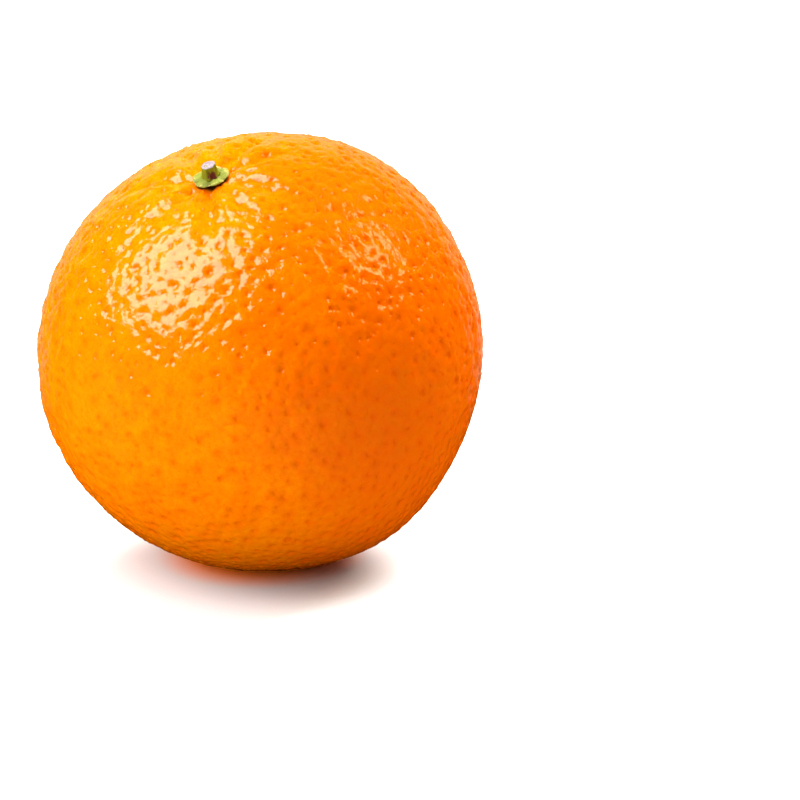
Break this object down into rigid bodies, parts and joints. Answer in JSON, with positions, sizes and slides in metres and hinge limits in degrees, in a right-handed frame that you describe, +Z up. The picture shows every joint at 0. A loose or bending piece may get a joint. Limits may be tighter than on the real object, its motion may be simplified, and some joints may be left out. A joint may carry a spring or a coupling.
{
  "type": "orange",
  "caption": "Whole ripe sweet orange with pitted peel, furrowed stem end, green calyx and a short cut stem stub, resting on a small flat spot.",
  "frame": {"origin": "middle of the small flat spot that the fruit rests on", "axes": "+Z up from the surface it rests on; the stem axis leans 23.5 degrees from +Z toward a heading of 236.5 degrees from +X; -Y is the front"},
  "size_m": [0.0779, 0.0776, 0.0757],
  "materials": {
    "peel": "semi-gloss waxy peel with fine pits, stands in for citrus skin",
    "calyx_green": "matte leafy green, stands in for a dry calyx",
    "stub_wood": "matte olive-green bark with a pale cut end"
  },
  "bodies": {
    "root": {"fruit": "peel", "calyx": "calyx_green", "stem_stub": "stub_wood"}
  },
  "joints": []
}
